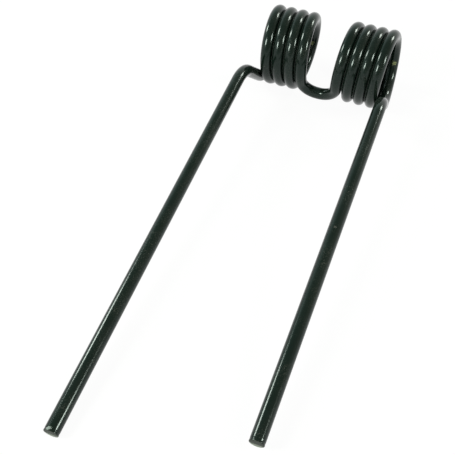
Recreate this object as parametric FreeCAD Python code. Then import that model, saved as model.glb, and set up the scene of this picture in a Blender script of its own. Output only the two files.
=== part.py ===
import FreeCAD, Part
import math
import os
from FreeCAD import Placement, Rotation, Vector

# A double spring tine for a hay rake, bent from one length of round spring wire
# The origin is on the axis of the coils, midway between them, and +X runs along that axis
# The legs point to -Y, and the tine lies as it rests on level ground with +Z up

# Wire
wire_diameter = 9.5
edge_break = 0.4            # chamfer round each cut end

# Coils
coil_inner_diameter = 45.0
turn_gap = 0.2              # clear gap from one turn to the next
turn_passes = 4             # times that the wire passes over the top of each coil
coil_gap = 19.5             # clear width between the two coils

# Bridge between the coils
bridge_start_angle = 195.0  # where the inner turn leaves the coil, from +Y towards +Z
bridge_flat = 1.2           # short straight in the middle of the bridge

# Hooks and legs, with every leg size taken square to the axis of the coils
rise_angle = 47.0           # slope of the straight rise, measured from the leg
hook_bend_radius = 30.0     # centre line of the bend from the rise into the leg
leg_offset = 13.6           # height of the legs' centre lines over the axis of the coils
long_leg = 363.5            # from the axis of the coils to the left tip
short_leg = 329.0           # from the axis of the coils to the right tip

# Sizes that follow
wire_radius = wire_diameter / 2
coil_radius = coil_inner_diameter / 2 + wire_radius
pitch = wire_diameter + turn_gap
coil_start_x = coil_gap / 2 + wire_radius
leave_angle = 270.0 - rise_angle
coil_sweep = 360.0 * turn_passes + bridge_start_angle - leave_angle
coil_width = pitch * coil_sweep / 360.0

along_axis = Vector(1, 0, 0)
along_leg = Vector(0, -1, 0)


def ring_point(x, angle):
    """Point of the coil's centre line at this distance along the axis and this angle."""
    a = math.radians(angle)
    return Vector(x, coil_radius * math.cos(a), coil_radius * math.sin(a))


def ring_direction(angle):
    """Direction of the left coil's wire at this angle, on its way out to the leg."""
    a = math.radians(angle)
    lead = pitch / (2 * math.pi)
    return Vector(-lead, coil_radius * math.sin(a), -coil_radius * math.cos(a)).normalize()


def wire_section(point, direction):
    """Round face of the wire, square to its direction."""
    return Part.Face(Part.Wire(Part.makeCircle(wire_radius, point, direction)))


def straight(point, direction, length):
    """Straight stretch of wire and the point where it ends."""
    return Part.makeCylinder(wire_radius, length, point, direction), point + direction * length


def bend(point, direction, new_direction, radius):
    """Bend of the wire from one direction to another and the point where it ends."""
    turn = math.degrees(direction.getAngle(new_direction))
    axis = direction.cross(new_direction).normalize()
    centre = point + axis.cross(direction) * radius
    solid = wire_section(point, direction).revolve(centre, axis, turn)
    end = centre + Rotation(axis, turn).multVec(point - centre)
    return solid, end


def coil():
    """Turns of the left coil, wound from the leg's side towards the bridge."""
    helix = Part.makeHelix(pitch, coil_width, coil_radius)
    helix.Placement = Placement(Vector(), Rotation(Vector(0, 1, 0), Vector(0, 0, 1), along_axis, "XZY"))
    helix.rotate(Vector(), along_axis, leave_angle)
    helix.translate(along_axis * (-coil_start_x - coil_width))
    start = ring_point(-coil_start_x - coil_width, leave_angle)
    sweep = Part.BRepOffsetAPI.MakePipeShell(Part.Wire(helix.Edges))
    sweep.setFrenetMode(True)
    sweep.add(Part.Wire(Part.makeCircle(wire_radius, start, ring_direction(leave_angle))))
    sweep.build()
    sweep.makeSolid()
    return sweep.shape()


def half_bridge():
    """Left half of the bridge, from the coil's inner end to the middle of the tine."""
    inward = -ring_direction(bridge_start_angle)
    slant = inward.getAngle(along_axis)
    radius = (coil_start_x - bridge_flat / 2) / math.sin(slant)
    curve, point = bend(ring_point(-coil_start_x, bridge_start_angle), inward, along_axis, radius)
    flat = straight(point, along_axis, bridge_flat / 2)[0]
    return [curve, flat]


def hook_and_leg(leg_length):
    """Rise from the coil's outer end, the bend over its top and the straight leg with its cut end."""
    outward = ring_direction(leave_angle)
    start = ring_point(-coil_start_x - coil_width, leave_angle)
    bend_reach = hook_bend_radius * math.tan(outward.getAngle(along_leg) / 2)
    rise_length = (leg_offset - start.z) / outward.z - bend_reach
    rise, point = straight(start, outward, rise_length)
    hook, point = bend(point, outward, along_leg, hook_bend_radius)
    leg, tip = straight(point, along_leg, leg_length + point.y)
    cut_edges = [edge for edge in leg.Edges if edge.BoundBox.YMax < tip.y + edge_break / 2]
    return [rise, hook, leg.makeChamfer(edge_break, cut_edges)]


def half_tine(leg_length):
    """Every stretch of wire on the left of the middle plane."""
    return [coil()] + half_bridge() + hook_and_leg(leg_length)


def rest_slope():
    """Angle by which the legs fall when the coils and the long leg's tip stand on the ground."""
    reach = long_leg - edge_break
    underside = leg_offset - wire_radius
    outer_radius = coil_radius + wire_radius
    return math.degrees(math.atan2(underside, reach) + math.asin(outer_radius / math.hypot(reach, underside)))


def spring_tine():
    """Both halves joined into one wire and laid down as they rest."""
    left = half_tine(long_leg)
    right = [piece.mirror(Vector(), along_axis) for piece in half_tine(short_leg)]
    pieces = left + right
    solid = pieces[0].multiFuse(pieces[1:])
    solid.rotate(Vector(), along_axis, rest_slope())
    return solid.Solids[0]


os.makedirs("parts", exist_ok=True)
tine = spring_tine()
tine.exportStep("parts/spring_tine.step")
print("one solid:", tine.isValid() and len(tine.Solids) == 1, "volume in cubic mm:", round(tine.Volume, 1))
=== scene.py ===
import math
import bpy
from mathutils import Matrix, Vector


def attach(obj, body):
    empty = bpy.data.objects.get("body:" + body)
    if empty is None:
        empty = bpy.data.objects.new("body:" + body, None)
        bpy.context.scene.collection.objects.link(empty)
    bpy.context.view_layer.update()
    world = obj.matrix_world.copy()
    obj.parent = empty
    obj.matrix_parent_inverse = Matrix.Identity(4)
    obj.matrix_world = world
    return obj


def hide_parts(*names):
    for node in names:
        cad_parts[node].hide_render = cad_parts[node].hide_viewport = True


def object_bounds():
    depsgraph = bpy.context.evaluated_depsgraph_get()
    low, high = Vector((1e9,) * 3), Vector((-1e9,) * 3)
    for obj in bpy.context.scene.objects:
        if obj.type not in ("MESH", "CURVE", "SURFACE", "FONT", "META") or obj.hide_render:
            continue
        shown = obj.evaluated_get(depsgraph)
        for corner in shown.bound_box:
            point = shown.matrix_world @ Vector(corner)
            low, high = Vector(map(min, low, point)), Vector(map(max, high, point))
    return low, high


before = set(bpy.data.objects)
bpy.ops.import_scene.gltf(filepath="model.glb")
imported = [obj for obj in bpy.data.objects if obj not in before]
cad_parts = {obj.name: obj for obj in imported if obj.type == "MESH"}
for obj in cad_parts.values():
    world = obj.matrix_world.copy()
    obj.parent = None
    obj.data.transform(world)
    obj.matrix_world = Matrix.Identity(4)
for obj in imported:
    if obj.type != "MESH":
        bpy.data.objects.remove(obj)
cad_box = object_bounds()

# Spring wire
# One length of 9.5 mm round spring steel, wound into two mirrored coils with a bridge between them
# Outside each coil it rises, bends over into a hook and runs out as a straight leg to a sheared tip
# The finished tine was dipped in green-black enamel

# The solid's own sizes, in metres and radians, and the length of leg that the shear has shaped
tine_sizes = {
    "Wire diameter": 0.0095,
    "Coil inner diameter": 0.045,
    "Turn gap": 0.0002,
    "Turn passes": 4.0,
    "Coil gap": 0.0195,
    "Bridge start angle": math.radians(195.0),
    "Bridge flat": 0.0012,
    "Rise angle": math.radians(47.0),
    "Hook bend radius": 0.030,
    "Leg offset": 0.0136,
    "Worked end length": 0.008,
}
long_leg = 0.3635
short_leg = 0.329

# Slope of the legs when both coils and the broken edge of the long leg's tip stand on the ground
edge_break = 0.0004
rest_reach = long_leg - edge_break
leg_underside = tine_sizes["Leg offset"] - tine_sizes["Wire diameter"] / 2
coil_outer_radius = tine_sizes["Coil inner diameter"] / 2 + tine_sizes["Wire diameter"]
rest_slope = math.atan2(leg_underside, rest_reach) + math.asin(
    coil_outer_radius / math.hypot(rest_reach, leg_underside))


def feed(tree, socket, value):
    """Links the value if it comes from another node, and otherwise types it in."""
    if isinstance(value, bpy.types.NodeSocket):
        tree.links.new(value, socket)
    else:
        socket.default_value = value


def add(tree, kind, inputs=(), **settings):
    """Adds a node with these settings and feeds its inputs, given in order or by name."""
    node = tree.nodes.new(kind)
    for name, value in settings.items():
        setattr(node, name, value)
    for key, value in (inputs.items() if isinstance(inputs, dict) else enumerate(inputs)):
        feed(tree, node.inputs[key], value)
    return node


def number(tree, operation, *terms, **settings):
    """One step of arithmetic."""
    return add(tree, "ShaderNodeMath", terms, operation=operation, **settings).outputs[0]


def arrow(tree, operation, *terms):
    """One step of arithmetic on points and directions."""
    if operation == "SCALE":
        terms = {0: terms[0], "Scale": terms[1]}
    node = add(tree, "ShaderNodeVectorMath", terms, operation=operation)
    return node.outputs["Value" if operation in ("LENGTH", "DISTANCE", "DOT_PRODUCT") else "Vector"]


def point(tree, x, y, z):
    """A point or direction from its three parts."""
    return add(tree, "ShaderNodeCombineXYZ", (x, y, z)).outputs[0]


def parts(tree, place):
    """The three parts of a point or direction."""
    return add(tree, "ShaderNodeSeparateXYZ", (place,)).outputs


def new_tree(name, inputs, outputs):
    """An empty tree with these named inputs and outputs."""
    tree = bpy.data.node_groups.new(name, "GeometryNodeTree")
    for in_out, sockets in (("INPUT", inputs), ("OUTPUT", outputs)):
        for label, kind in sockets.items():
            tree.interface.new_socket(label, in_out=in_out, socket_type="NodeSocket" + kind)
    return tree, tree.nodes.new("NodeGroupInput").outputs, tree.nodes.new("NodeGroupOutput").inputs


# Place and direction of the wire at any angle round a coil
ring_tree, given, made = new_tree(
    "Point on a coil",
    dict.fromkeys(["Across", "Angle", "Coil radius", "Lead"], "Float"),
    {"Point": "Vector", "Direction": "Vector"})
cosine = number(ring_tree, "MULTIPLY", given["Coil radius"], number(ring_tree, "COSINE", given["Angle"]))
sine = number(ring_tree, "MULTIPLY", given["Coil radius"], number(ring_tree, "SINE", given["Angle"]))
feed(ring_tree, made["Point"], point(ring_tree, given["Across"], cosine, sine))
slope = point(ring_tree, given["Lead"], sine, number(ring_tree, "MULTIPLY", cosine, -1.0))
feed(ring_tree, made["Direction"], arrow(ring_tree, "NORMALIZE", slope))

# Bend of the wire from one direction to another
bend_tree, given, made = new_tree(
    "Bend",
    {"Start": "Vector", "From": "Vector", "Towards": "Vector", "Radius": "Float", "Points": "Int"},
    {"Line": "Geometry", "End": "Vector"})
turn_cosine = arrow(bend_tree, "DOT_PRODUCT", given["From"], given["Towards"])
turn = number(bend_tree, "ARCCOSINE", turn_cosine)
side = arrow(bend_tree, "NORMALIZE", arrow(
    bend_tree, "SUBTRACT", given["Towards"], arrow(bend_tree, "SCALE", given["From"], turn_cosine)))
share = number(bend_tree, "DIVIDE", add(bend_tree, "GeometryNodeInputIndex").outputs[0],
               number(bend_tree, "SUBTRACT", given["Points"], 1.0))
turned = number(bend_tree, "MULTIPLY", turn, share)
ahead = arrow(bend_tree, "SCALE", given["From"], number(bend_tree, "SINE", turned))
inward = arrow(bend_tree, "SCALE", side, number(
    bend_tree, "SUBTRACT", 1.0, number(bend_tree, "COSINE", turned)))
on_bend = arrow(bend_tree, "ADD", given["Start"], arrow(
    bend_tree, "SCALE", arrow(bend_tree, "ADD", ahead, inward), given["Radius"]))
reach = number(bend_tree, "MULTIPLY", given["Radius"], number(
    bend_tree, "TANGENT", number(bend_tree, "DIVIDE", turn, 2.0)))
both_ways = arrow(bend_tree, "ADD", given["From"], given["Towards"])
feed(bend_tree, made["End"], arrow(
    bend_tree, "ADD", given["Start"], arrow(bend_tree, "SCALE", both_ways, reach)))
string = add(bend_tree, "GeometryNodeMeshLine", {"Count": given["Points"]}).outputs[0]
feed(bend_tree, made["Line"], add(
    bend_tree, "GeometryNodeSetPosition", {"Geometry": string, "Position": on_bend}).outputs[0])

# One half of the tine as a centre line: bridge, coil, rise, hook and leg
half_tree, given, made = new_tree(
    "Half of the tine",
    dict.fromkeys([*tine_sizes, "Leg length"], "Float"),
    {"Line": "Geometry", "Seam": "Geometry"})


def half(operation, *terms):
    """One step of arithmetic in the half of the tine."""
    return number(half_tree, operation, *terms)


def straight(start, end, longest_step):
    """Straight stretch of the centre line, divided into even steps."""
    steps = half("CEIL", half("DIVIDE", arrow(half_tree, "DISTANCE", start, end), longest_step))
    return add(half_tree, "GeometryNodeMeshLine", {
        "Start Location": start, "Offset": end, "Count": half("ADD", steps, 1.0)},
        mode="END_POINTS").outputs[0]


def bend(start, direction, towards, radius, points):
    """Bend that starts here and turns the wire this way."""
    return add(half_tree, "GeometryNodeGroup", {
        "Start": start, "From": direction, "Towards": towards, "Radius": radius, "Points": points},
        node_tree=bend_tree).outputs


def place_on_coil(across, angle):
    """Place and direction of the wire on the coil of this tine."""
    return add(half_tree, "GeometryNodeGroup", {
        "Across": across, "Angle": angle, "Coil radius": coil_radius, "Lead": lead},
        node_tree=ring_tree).outputs


def winding(across, whole_turn, points):
    """Line wound round the coil from this distance along its axis, through this angle."""
    swept = half("MULTIPLY", whole_turn, half(
        "DIVIDE", add(half_tree, "GeometryNodeInputIndex").outputs[0], float(points - 1)))
    place = place_on_coil(half("ADD", across, half("MULTIPLY", lead, swept)),
                          half("SUBTRACT", given["Bridge start angle"], swept))
    return add(half_tree, "GeometryNodeSetPosition", {
        "Geometry": add(half_tree, "GeometryNodeMeshLine", {"Count": points}).outputs[0],
        "Position": place["Point"]}).outputs[0]


# The coil, and the seam that runs midway between each turn and the next
coil_points = 378
seam_points = 283
full_turn = 2 * math.pi
wire_radius = half("DIVIDE", given["Wire diameter"], 2.0)
coil_radius = half("ADD", half("DIVIDE", given["Coil inner diameter"], 2.0), wire_radius)
lead = half("DIVIDE", half("ADD", given["Wire diameter"], given["Turn gap"]), full_turn)
coil_start = half("ADD", half("DIVIDE", given["Coil gap"], 2.0), wire_radius)
leave_angle = half("SUBTRACT", math.radians(270.0), given["Rise angle"])
sweep = half("SUBTRACT", half("ADD", half("MULTIPLY", given["Turn passes"], full_turn),
                              given["Bridge start angle"]), leave_angle)
coil_end = half("ADD", coil_start, half("MULTIPLY", lead, sweep))
coil = winding(coil_start, sweep, coil_points)
seam_start = half("ADD", coil_start, half("MULTIPLY", lead, full_turn / 2))
feed(half_tree, made["Seam"], winding(seam_start, half("SUBTRACT", sweep, full_turn), seam_points))

# Half of the bridge, from the coil's inner end to the middle of the tine
bridge_points = 30
flat_step = 0.0003
to_middle = (-1.0, 0.0, 0.0)
inner = place_on_coil(coil_start, given["Bridge start angle"])
back_in = arrow(half_tree, "SCALE", inner["Direction"], -1.0)
bridge_sine = arrow(half_tree, "LENGTH", arrow(half_tree, "CROSS_PRODUCT", back_in, to_middle))
bridge_reach = half("SUBTRACT", coil_start, half("DIVIDE", given["Bridge flat"], 2.0))
bridge_radius = half("DIVIDE", bridge_reach, bridge_sine)
bridge = bend(inner["Point"], back_in, to_middle, bridge_radius, bridge_points)
bridge_middle = arrow(half_tree, "MULTIPLY", bridge["End"], (0.0, 1.0, 1.0))
flat = straight(bridge["End"], bridge_middle, flat_step)

# Rise from the coil's outer end and the hook over its top
hook_points = 64
rise_step = 0.004
along_leg = (0.0, -1.0, 0.0)
outer = place_on_coil(coil_end, leave_angle)
hook_sine = arrow(half_tree, "LENGTH", arrow(half_tree, "CROSS_PRODUCT", outer["Direction"], along_leg))
hook_cosine = arrow(half_tree, "DOT_PRODUCT", outer["Direction"], along_leg)
hook_reach = half("MULTIPLY", given["Hook bend radius"],
                  half("DIVIDE", hook_sine, half("ADD", hook_cosine, 1.0)))
outer_height = parts(half_tree, outer["Point"])["Z"]
climb = parts(half_tree, outer["Direction"])["Z"]
rise_length = half("SUBTRACT", half(
    "DIVIDE", half("SUBTRACT", given["Leg offset"], outer_height), climb), hook_reach)
rise_end = arrow(half_tree, "ADD", outer["Point"], arrow(
    half_tree, "SCALE", outer["Direction"], rise_length))
rise = straight(outer["Point"], rise_end, rise_step)
hook = bend(rise_end, outer["Direction"], along_leg, given["Hook bend radius"], hook_points)

# Leg, with close steps over the worked end for the shape of the cut
leg_step = 0.005
worked_step = 0.00005
leg_line = parts(half_tree, hook["End"])
tip = point(half_tree, leg_line["X"], half("MULTIPLY", given["Leg length"], -1.0), leg_line["Z"])
worked_start = arrow(half_tree, "ADD", tip, point(half_tree, 0.0, given["Worked end length"], 0.0))
leg = straight(hook["End"], worked_start, leg_step)
worked_end = straight(worked_start, tip, worked_step)

joined = add(half_tree, "GeometryNodeJoinGeometry")
for stretch in (coil, bridge["Line"], flat, rise, hook["Line"], leg, worked_end):
    half_tree.links.new(stretch, joined.inputs[0])
feed(half_tree, made["Line"], joined.outputs[0])


def both_halves(tree, given, line):
    """One of the lines for both halves of the tine, joined and laid down as they rest."""
    weld_distance = 0.00002
    halves = add(tree, "GeometryNodeJoinGeometry")
    for leg_label, mirror in (("Long leg", -1.0), ("Short leg", 1.0)):
        one = add(tree, "GeometryNodeGroup", node_tree=half_tree)
        for label in tine_sizes:
            feed(tree, one.inputs[label], given[label])
        feed(tree, one.inputs["Leg length"], given[leg_label])
        feed(tree, halves.inputs[0], add(tree, "GeometryNodeTransform", {
            "Geometry": one.outputs[line], "Scale": (mirror, 1.0, 1.0)}).outputs[0])
    welded = add(tree, "GeometryNodeMergeByDistance", {
        "Geometry": halves.outputs[0], "Distance": weld_distance}).outputs[0]
    laid = add(tree, "GeometryNodeTransform", {
        "Geometry": welded, "Rotation": point(tree, given["Rest slope"], 0.0, 0.0)}).outputs[0]
    return add(tree, "GeometryNodeMeshToCurve", (laid,)).outputs[0]


def note_down(tree, line, name, value):
    """Writes this value on every point of the line under a name, for the enamel to read."""
    return add(tree, "GeometryNodeStoreNamedAttribute", {
        "Geometry": line, "Name": name, "Value": value}, data_type="FLOAT").outputs[0]


def give_finish(tree, given, made, shape):
    """Ends a tree with plain geometry that wears its finish."""
    real = add(tree, "GeometryNodeRealizeInstances", (shape,)).outputs[0]
    feed(tree, made["Geometry"], add(tree, "GeometryNodeSetMaterial", {
        "Geometry": real, "Material": given["Finish"]}).outputs[0])


# Sheared end: a slightly domed face, a rounded rim, and a neck where the shear pulled the wire in
# The smallest radius keeps the middle of the face open enough for its cap
cut_sizes = {
    "Dome height": 0.0001,
    "Rim rounding": 0.0003,
    "Neck depth": 0.0001,
    "Neck distance": 0.0015,
    "Neck half length": 0.0006,
    "Smallest radius": 0.0004,
}
end_tree, given, made = new_tree(
    "Sheared end",
    dict.fromkeys([*cut_sizes, "Wire diameter", "From tip"], "Float"),
    {"Width": "Float"})


def cut(operation, *terms, **settings):
    """One step of arithmetic in the sheared end."""
    return number(end_tree, operation, *terms, **settings)


full_radius = cut("DIVIDE", given["Wire diameter"], 2.0)
face_radius = cut("SUBTRACT", full_radius, given["Rim rounding"])
dome_radius = cut("ADD", cut("DIVIDE", given["Dome height"], 2.0), cut(
    "DIVIDE", cut("POWER", face_radius, 2.0), cut("MULTIPLY", given["Dome height"], 2.0)))
on_dome = cut("MINIMUM", given["From tip"], dome_radius)
dome = cut("SQRT", cut("MULTIPLY", on_dome, cut("SUBTRACT", cut("MULTIPLY", dome_radius, 2.0), on_dome)))
up_rim = cut("SUBTRACT", 1.0, cut(
    "DIVIDE", cut("SUBTRACT", given["From tip"], given["Dome height"]), given["Rim rounding"]),
    use_clamp=True)
rim_drop = cut("MULTIPLY", given["Rim rounding"], cut("SUBTRACT", 1.0, cut(
    "SQRT", cut("SUBTRACT", 1.0, cut("POWER", up_rim, 2.0), use_clamp=True))))
from_neck = cut("DIVIDE", cut("SUBTRACT", given["From tip"], given["Neck distance"]),
                given["Neck half length"])
neck_drop = cut("MULTIPLY", given["Neck depth"], cut(
    "EXPONENT", cut("MULTIPLY", cut("POWER", from_neck, 2.0), -1.0)))
side_radius = cut("SUBTRACT", full_radius, cut("ADD", rim_drop, neck_drop))
cut_radius = cut("MAXIMUM", cut("MINIMUM", side_radius, dome), given["Smallest radius"])
feed(end_tree, made["Width"], cut("DIVIDE", cut_radius, full_radius))

# Both halves joined into one wire and given their thickness
wire_sides = 40
sharp_angle = math.radians(50.0)
tine_values = tine_sizes | {"Long leg": long_leg, "Short leg": short_leg, "Rest slope": rest_slope}
wire_tree, given, made = new_tree(
    "Spring wire",
    dict.fromkeys([*tine_values, *cut_sizes], "Float") | {"Wire sides": "Int", "Finish": "Material"},
    {"Geometry": "Geometry"})
line = both_halves(wire_tree, given, "Line")
along = add(wire_tree, "GeometryNodeSplineParameter").outputs["Length"]
whole = add(wire_tree, "GeometryNodeSplineLength").outputs["Length"]
from_tip = number(wire_tree, "MINIMUM", along, number(wire_tree, "SUBTRACT", whole, along))
line = note_down(wire_tree, line, "from_tip", from_tip)
end_values = {label: given[label] for label in (*cut_sizes, "Wire diameter")} | {"From tip": from_tip}
width = add(wire_tree, "GeometryNodeGroup", end_values, node_tree=end_tree).outputs["Width"]
section = add(wire_tree, "GeometryNodeCurvePrimitiveCircle", {
    "Resolution": given["Wire sides"],
    "Radius": number(wire_tree, "DIVIDE", given["Wire diameter"], 2.0)}).outputs[0]
swept_wire = add(wire_tree, "GeometryNodeCurveToMesh", {
    "Curve": line, "Profile Curve": section, "Scale": width, "Fill Caps": True}).outputs[0]
sharp = add(wire_tree, "FunctionNodeCompare", {
    "A": add(wire_tree, "GeometryNodeInputMeshEdgeAngle").outputs[0], "B": sharp_angle},
    operation="GREATER_THAN").outputs[0]
smooth = add(wire_tree, "GeometryNodeSetShadeSmooth", {
    "Geometry": swept_wire, "Shade Smooth": True}, domain="FACE").outputs[0]
smooth = add(wire_tree, "GeometryNodeSetShadeSmooth", {
    "Geometry": smooth, "Selection": sharp, "Shade Smooth": False}, domain="EDGE").outputs[0]
give_finish(wire_tree, given, made, smooth)

# Enamel: a near-black green coat with a wet gloss and faint orange peel, marked in a few places
enamel = bpy.data.materials.new("green_black_enamel")
enamel.use_nodes = True
paint = enamel.node_tree
paint.nodes.clear()
place = add(paint, "ShaderNodeTexCoord").outputs["Object"]


def mottle(scale, detail, roughness):
    """Soft random pattern over the wire, at this many patches to a metre."""
    return add(paint, "ShaderNodeTexNoise", {
        "Vector": place, "Scale": scale, "Detail": detail, "Roughness": roughness}).outputs[0]


def ramp(tree, value, low, high, to_low=0.0, to_high=1.0, **settings):
    """Stretches the part of a value from low to high over the range wanted."""
    return add(tree, "ShaderNodeMapRange", {
        "Value": value, "From Min": low, "From Max": high, "To Min": to_low, "To Max": to_high},
        **settings).outputs[0]


def strongest(tree, *masks):
    """Takes the strongest of these masks at every point."""
    most = masks[0]
    for mask in masks[1:]:
        most = number(tree, "MAXIMUM", most, mask)
    return most


def blend_colour(tree, factor, first, second):
    """Mixes two colours, for which the node has inputs 6 and 7 and output 2."""
    return add(tree, "ShaderNodeMix", {0: factor, 6: first, 7: second}, data_type="RGBA").outputs[2]


def noted(name):
    """Reads a value that was written on the points of the wire."""
    return add(paint, "ShaderNodeAttribute", attribute_name=name).outputs["Fac"]


def marks(centres, reach, grain, roughness, low, high):
    """Ragged marks at these places, broken up by a grain of this many patches to a metre."""
    strength = 0.7
    near = 0.0
    for centre in centres:
        away = arrow(paint, "DISTANCE", place, centre)
        near = number(paint, "ADD", near, ramp(paint, away, 0.0, reach, strength, 0.0))
    ragged = number(paint, "ADD", mottle(grain, detail=2.0, roughness=roughness), near)
    return ramp(paint, ragged, low, high)


# The coat drifts a little between two greens, and its gloss from place to place
deep_green = (0.0024, 0.0066, 0.0042, 1.0)
grey_green = (0.0044, 0.0088, 0.0065, 1.0)
drift = ramp(paint, mottle(scale=55.0, detail=3.0, roughness=0.6), low=0.35, high=0.65)
colour = blend_colour(paint, drift, deep_green, grey_green)
wet_roughness = ramp(paint, mottle(scale=120.0, detail=3.0, roughness=0.6),
                     low=0.3, high=0.7, to_low=0.14, to_high=0.19)

# Faint scuffs in patches all over, and a nick half way down the right leg
scuffed_enamel = (0.046, 0.048, 0.040, 1.0)
scratches = ramp(paint, mottle(scale=1300.0, detail=3.0, roughness=0.7), low=0.55, high=0.70)
patches = ramp(paint, mottle(scale=60.0, detail=2.0, roughness=0.5), low=0.42, high=0.60)
nick = marks([(0.0552, -0.1768, -0.0015)],
             reach=0.0024, grain=1900.0, roughness=0.6, low=0.93, high=1.03)
scuffs = strongest(paint, number(paint, "MULTIPLY", scratches, patches), nick)

# The sheared faces, coloured darker at the top and paler at the bottom: painted shade above and a
# painted reflection of the white floor below
face_top_dark = (0.010, 0.016, 0.007, 1.0)
painted_floor_reflection = (0.20, 0.23, 0.18, 1.0)
square_to_leg = (0.0, -0.113, 1.0)
face_edge = cut_sizes["Dome height"]
rim_edge = face_edge + cut_sizes["Rim rounding"]
face = ramp(paint, noted("from_tip"), low=face_edge, high=rim_edge, to_low=1.0, to_high=0.0)
# Paler lower down the face: a painted reflection of the white floor under the tip
lower_face_reflection = ramp(paint, arrow(paint, "DOT_PRODUCT", place, square_to_leg),
                 low=0.0108, high=0.0136, to_low=1.0, to_high=0.0)
face_with_painted_reflection = blend_colour(paint, lower_face_reflection, face_top_dark, painted_floor_reflection)

# Chips down to grey primer at the left tip, and a small olive mark inside each coil, at the same place
# in both
grey_primer = (0.16, 0.19, 0.17, 1.0)
olive_mark_colour = (0.17, 0.19, 0.08, 1.0)
chips = marks([(-0.0552, -0.3614, -0.0226), (-0.0568, -0.3622, -0.0234)],
              reach=0.0022, grain=2000.0, roughness=0.6, low=0.96, high=1.02)
olive_marks = marks([(-0.0199, 0.0221, -0.0056), (0.0508, 0.0220, -0.0072)],
             reach=0.0042, grain=1100.0, roughness=0.5, low=0.90, high=0.98)

# Dust that lies where the enamel has gathered between the turns
dry_dust = (0.034, 0.042, 0.033, 1.0)
cover = ramp(paint, mottle(scale=400.0, detail=2.0, roughness=0.5),
             low=0.3, high=0.7, to_low=0.7, to_high=1.0)
dust = number(paint, "MULTIPLY", cover, noted("gathered"))

# Each mark lies over the ones before it and takes the gloss away, the scuffs not quite as much
for mask, layer in ((scuffs, scuffed_enamel), (face, face_with_painted_reflection), (chips, grey_primer),
                    (olive_marks, olive_mark_colour), (dust, dry_dust)):
    colour = blend_colour(paint, mask, colour, layer)
scuff_share = 0.8
bare_roughness = 0.5
bare = strongest(paint, face, dust, chips, olive_marks, number(paint, "MULTIPLY", scuffs, scuff_share))
roughness = strongest(paint, wet_roughness, number(paint, "MULTIPLY", bare, bare_roughness))

# Orange peel and runs of the dried coat, with the chips sunk into it
relief_depth = 0.000018
peel_height = 0.25
chip_depth = 0.6
peel = number(paint, "MULTIPLY", mottle(scale=900.0, detail=1.0, roughness=0.4), peel_height)
runs = mottle(scale=170.0, detail=2.0, roughness=0.5)
sunk = number(paint, "MULTIPLY", chips, chip_depth)
surface = number(paint, "SUBTRACT", number(paint, "ADD", peel, runs), sunk)
relief = add(paint, "ShaderNodeBump", {
    "Strength": 1.0, "Distance": relief_depth, "Height": surface}).outputs[0]
coat = add(paint, "ShaderNodeBsdfPrincipled", {
    "Base Color": colour,
    "Roughness": roughness,
    "IOR": 1.37,
    "Specular Tint": (0.86, 1.0, 0.96, 1.0),
    "Normal": relief,
}).outputs[0]
add(paint, "ShaderNodeOutputMaterial", {"Surface": coat})


def build(name, tree, values):
    """Object made by this tree with these values, as a plain mesh."""
    thing = bpy.data.objects.new(name, bpy.data.meshes.new(name))
    bpy.context.scene.collection.objects.link(thing)
    maker = thing.modifiers.new(name, "NODES")
    maker.node_group = tree
    for socket in tree.interface.items_tree:
        if socket.in_out == "INPUT":
            maker[socket.identifier] = values[socket.name]
    bpy.context.view_layer.update()
    evaluated = bpy.context.evaluated_depsgraph_get()
    plain = bpy.data.meshes.new_from_object(
        thing.evaluated_get(evaluated), preserve_all_data_layers=True, depsgraph=evaluated)
    thing.modifiers.remove(maker)
    thing.data = plain
    return thing


wire = build("spring_wire", wire_tree, tine_values | cut_sizes | {
    "Wire sides": wire_sides, "Finish": enamel})
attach(wire, "root")
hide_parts("spring_tine")

# Enamel web
# Dried enamel that has gathered in the narrow gaps between the turns of both coils
# The dip coat ran in between the turns and bridges them, so that no light comes through

web_thickness = 0.0018
web_sides = 8
far_from_tip = 1.0
all_gathered = 1.0
web_tree, given, made = new_tree(
    "Enamel web",
    dict.fromkeys([*tine_values, "Web thickness"], "Float") | {"Web sides": "Int", "Finish": "Material"},
    {"Geometry": "Geometry"})
seam = both_halves(web_tree, given, "Seam")
seam = note_down(web_tree, seam, "from_tip", far_from_tip)
seam = note_down(web_tree, seam, "gathered", all_gathered)
bead = add(web_tree, "GeometryNodeCurvePrimitiveCircle", {
    "Resolution": given["Web sides"],
    "Radius": number(web_tree, "DIVIDE", given["Web thickness"], 2.0)}).outputs[0]
filled = add(web_tree, "GeometryNodeCurveToMesh", {
    "Curve": seam, "Profile Curve": bead, "Fill Caps": True}).outputs[0]
give_finish(web_tree, given, made, filled)
web = build("enamel_web", web_tree, tine_values | {
    "Web thickness": web_thickness, "Web sides": web_sides, "Finish": enamel})
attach(web, "root")

# Floor
# A plain white board that the tine lies on, wide enough to fill every view
# It shows as paper white and still takes the tine's soft shadow

floor_level = cad_box[0].z
floor_half_width = 6.0
floor_corners = ((-1, -1), (1, -1), (1, 1), (-1, 1))
floor_shape = bpy.data.meshes.new("floor")
floor_shape.from_pydata(
    [(x * floor_half_width, y * floor_half_width, floor_level) for x, y in floor_corners],
    [], [(0, 1, 2, 3)])
floor = bpy.data.objects.new("floor", floor_shape)
bpy.context.scene.collection.objects.link(floor)

# The board glows as white paper where it is seen, itself or in a gloss, and is plain matt elsewhere
matt_white = (0.8, 0.8, 0.8, 1.0)
paper_white = (1.0, 1.0, 1.0, 1.0)
paper_share = 0.945
board = bpy.data.materials.new("white_board")
board.use_nodes = True
board_tree = board.node_tree
board_tree.nodes.clear()
matt = add(board_tree, "ShaderNodeBsdfDiffuse", {"Color": matt_white}).outputs[0]
paper = add(board_tree, "ShaderNodeEmission", {"Color": paper_white, "Strength": 1.0}).outputs[0]
path = add(board_tree, "ShaderNodeLightPath").outputs
seen = strongest(board_tree, path["Is Camera Ray"], path["Is Glossy Ray"], path["Is Transmission Ray"])
glow = number(board_tree, "MULTIPLY", seen, paper_share)
add(board_tree, "ShaderNodeOutputMaterial", {
    "Surface": add(board_tree, "ShaderNodeMixShader", (glow, matt, paper)).outputs[0]})
floor_shape.materials.append(board)

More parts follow.
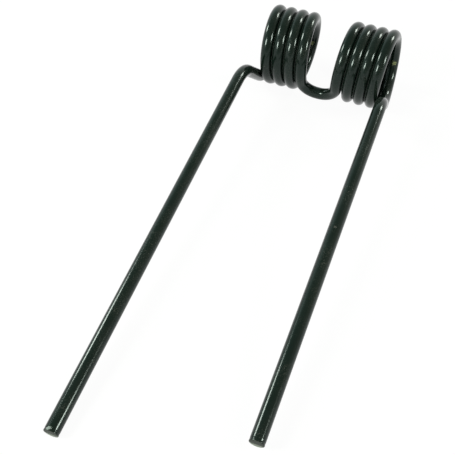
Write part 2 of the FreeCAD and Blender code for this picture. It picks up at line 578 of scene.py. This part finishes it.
# Lamps
# Four small soft lamps stand round the table, about a metre out and 30 degrees up
# Each makes one of the four short bright strokes on every turn, and the left one the line down each leg

lamp_width = 0.2
lamp_height = 0.25
lamp_colour = (0.95, 0.97, 0.90)
lamp_places = {
    "lamp_back_right": (0.46, 0.70, 0.54),
    "lamp_right": (0.96, -0.17, 0.50),
    "lamp_front_left": (-0.50, -0.72, 0.52),
    "lamp_left": (-0.83, 0.01, 0.50),
}
lamp_strengths = {
    "lamp_back_right": 23.0,
    "lamp_right": 42.0,
    "lamp_front_left": 46.0,
    "lamp_left": 29.0,
}
for label, lamp_place in lamp_places.items():
    lamp = bpy.data.lights.new(label, "AREA")
    lamp.shape = "RECTANGLE"
    lamp.size = lamp_width
    lamp.size_y = lamp_height
    lamp.energy = lamp_strengths[label] * math.pi * lamp_width * lamp_height
    lamp.color = lamp_colour
    stand = bpy.data.objects.new(label, lamp)
    stand.location = lamp_place
    stand.rotation_mode = "QUATERNION"
    stand.rotation_quaternion = stand.location.to_track_quat("Z", "Y")
    bpy.context.scene.collection.objects.link(stand)

# Surroundings
# A pale room all round the table: white walls behind and to the left, dimmer in front and overhead
# A white band at table height carries the floor on to the horizon
# The walls show in the gloss of the enamel as soft grey bands along the wire

bright_side = (-0.71, 0.71, 0.0)
ceiling_light = 0.36
band_light = 0.95
cool_white = (0.80, 1.0, 0.99, 1.0)
warm_white = (1.0, 0.96, 0.86, 1.0)
plain_white = (1.0, 1.0, 1.0, 1.0)
room = bpy.data.worlds.new("pale_room")
bpy.context.scene.world = room
room.use_nodes = True
room_tree = room.node_tree
room_tree.nodes.clear()


def fade(value, low, high, to_low=0.0, to_high=1.0):
    """Passes softly from one level to another round the room."""
    return ramp(room_tree, value, low, high, to_low, to_high, interpolation_type="SMOOTHSTEP")


def blend_level(factor, first, second):
    """Mixes two levels of light, for which the node has inputs 2 and 3."""
    return add(room_tree, "ShaderNodeMix", {0: factor, 2: first, 3: second}).outputs[0]


towards = add(room_tree, "ShaderNodeTexCoord").outputs["Generated"]
height = parts(room_tree, towards)["Z"]
walls = fade(arrow(room_tree, "DOT_PRODUCT", towards, bright_side),
             low=-0.9, high=0.8, to_low=0.32, to_high=1.0)
overhead = fade(height, low=0.4, high=0.9)
band = fade(height, low=0.13, high=0.28, to_low=1.0, to_high=0.0)
to_right = ramp(room_tree, parts(room_tree, towards)["X"], low=-0.8, high=0.8)
light = blend_level(overhead, walls, ceiling_light)
light = blend_level(band, light, band_light)
tint = blend_colour(room_tree, to_right, cool_white, warm_white)
tint = blend_colour(room_tree, band, tint, plain_white)
backdrop = add(room_tree, "ShaderNodeBackground", {"Color": tint, "Strength": light})
add(room_tree, "ShaderNodeOutputWorld", {"Surface": backdrop.outputs[0]})

# Camera
# It stands in front and to the right of the tine and looks down on it

view = bpy.data.cameras.new("camera")
view.sensor_width = 36.0
view.lens = 60.1065
camera = bpy.data.objects.new("camera", view)
camera.location = (0.10264, -0.51331, 0.36857)
camera.rotation_euler = (math.radians(41.715), math.radians(-0.803), math.radians(20.904))
bpy.context.scene.collection.objects.link(camera)
bpy.context.scene.camera = camera
bpy.context.scene.view_settings.view_transform = "Standard"
